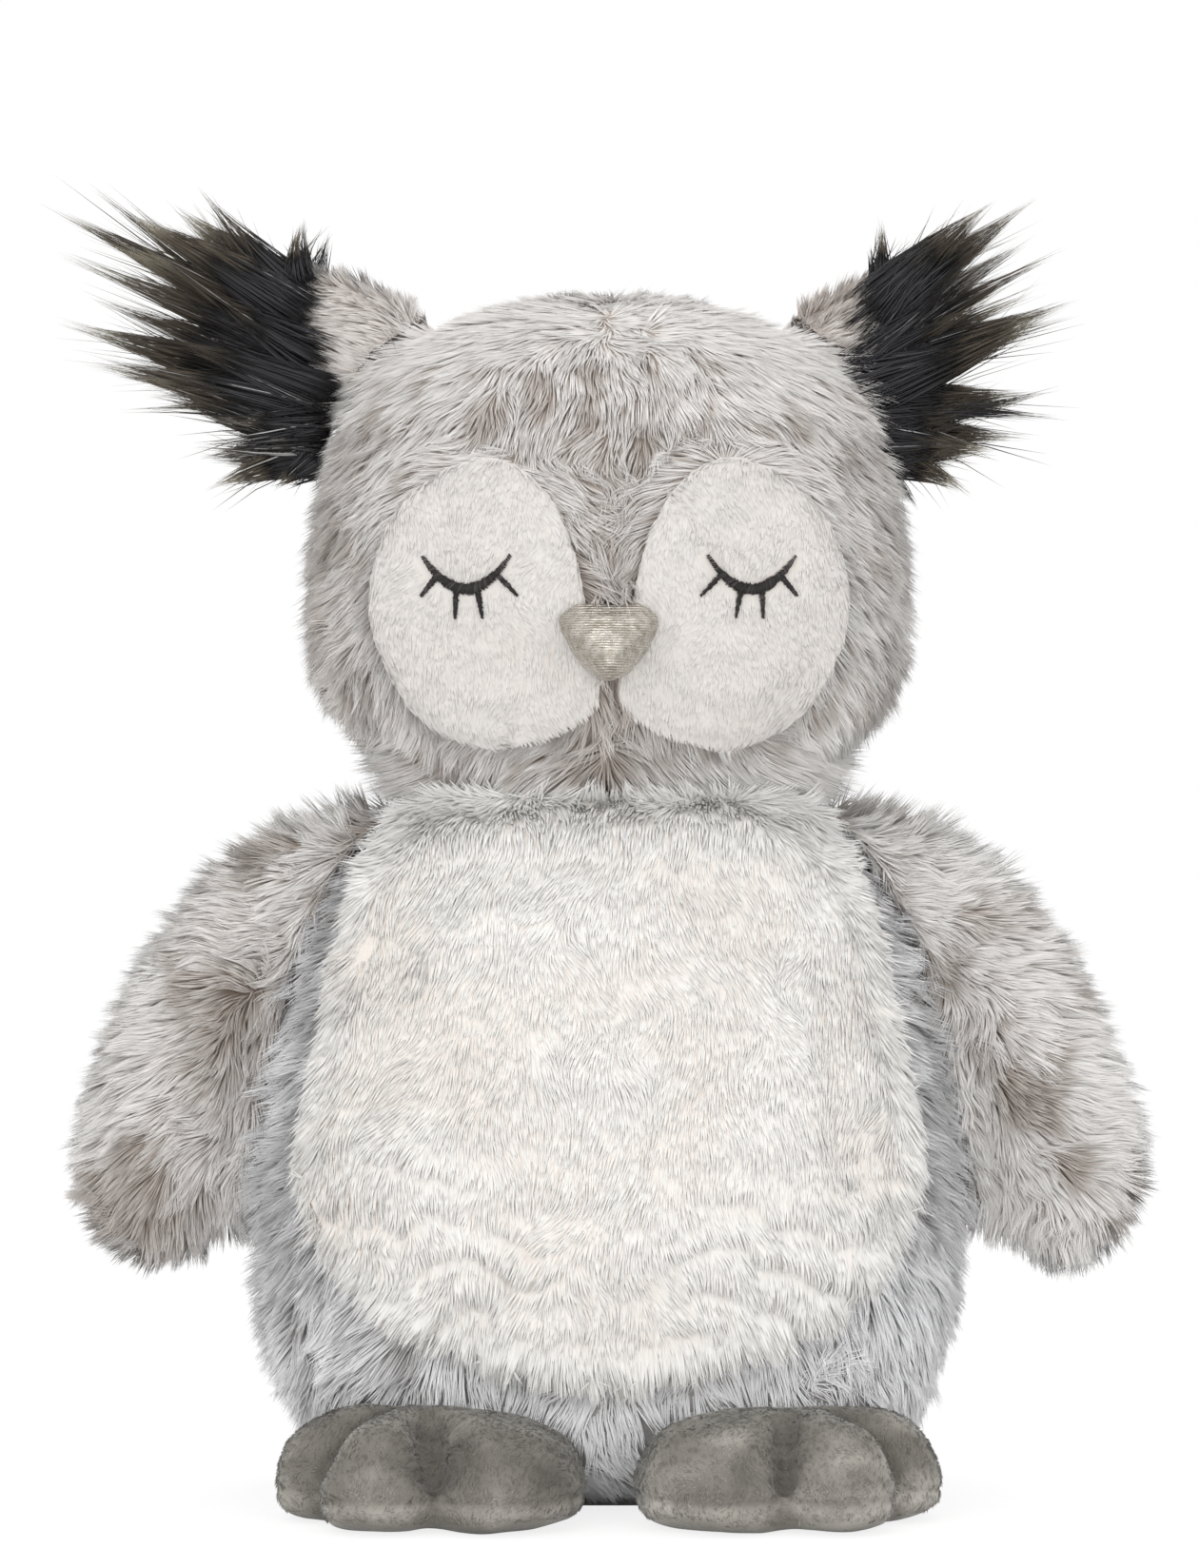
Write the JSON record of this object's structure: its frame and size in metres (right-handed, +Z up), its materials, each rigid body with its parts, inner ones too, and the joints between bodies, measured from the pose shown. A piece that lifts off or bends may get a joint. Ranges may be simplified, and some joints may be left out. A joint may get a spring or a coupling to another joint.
{
  "type": "plush owl",
  "caption": "Standing stuffed owl in grey long-pile fur with a cream belly, stitched closed eyes, metallic beak, dark ear tufts and hinged wings.",
  "frame": {"origin": "middle of the flat base panel, on the surface the toy stands on", "axes": "+Z up through the head, -Y the way the toy faces, +X its own left side"},
  "size_m": [0.3183, 0.1884, 0.3773],
  "materials": {
    "grey_fur": "long-pile plush, mottled grey with pale tips",
    "cream_plush": "wavy deep-pile plush",
    "short_plush": "short-pile velboa",
    "velour": "short-pile velour",
    "sole_cloth": "short-pile velour",
    "stitch_thread": "satin-stitched polyester thread",
    "dark_fur": "long faux fur with pale tips",
    "metallic_cloth": "foiled crinkle cloth",
    "fibre": "loose polyester fibre",
    "pellet_cloth": "woven cotton bag of plastic pellets"
  },
  "bodies": {
    "root": {"body_skin": "grey_fur", "belly_panel": "cream_plush", "base_panel": "grey_fur", "body_filling": "fibre", "pellet_bag": "pellet_cloth", "head_skin": "grey_fur", "head_filling": "fibre", "eye_patch_left": "short_plush", "eye_patch_right": "short_plush", "closed_eye_left": "stitch_thread", "closed_eye_right": "stitch_thread", "beak_skin": "metallic_cloth", "beak_filling": "fibre", "ear_left": "grey_fur", "ear_right": "grey_fur", "ear_tuft_left": "dark_fur", "ear_tuft_right": "dark_fur", "foot_upper_left": "velour", "foot_sole_left": "sole_cloth", "foot_filling_left": "fibre", "foot_upper_right": "velour", "foot_sole_right": "sole_cloth", "foot_filling_right": "fibre"},
    "wing_left": {"wing_skin_left": "grey_fur", "wing_filling_left": "fibre"},
    "wing_right": {"wing_skin_right": "grey_fur", "wing_filling_right": "fibre"}
  },
  "joints": [
    {"name": "wing_left_lift", "type": "hinge", "parent": "root", "child": "wing_left", "pos_m": [0.0585, 0, 0.2002], "axis": [0, -1, 0], "range_deg": [0, 48]},
    {"name": "wing_right_lift", "type": "hinge", "parent": "root", "child": "wing_right", "pos_m": [-0.0585, 0, 0.2002], "axis": [0, 1, 0], "range_deg": [0, 48]}
  ]
}
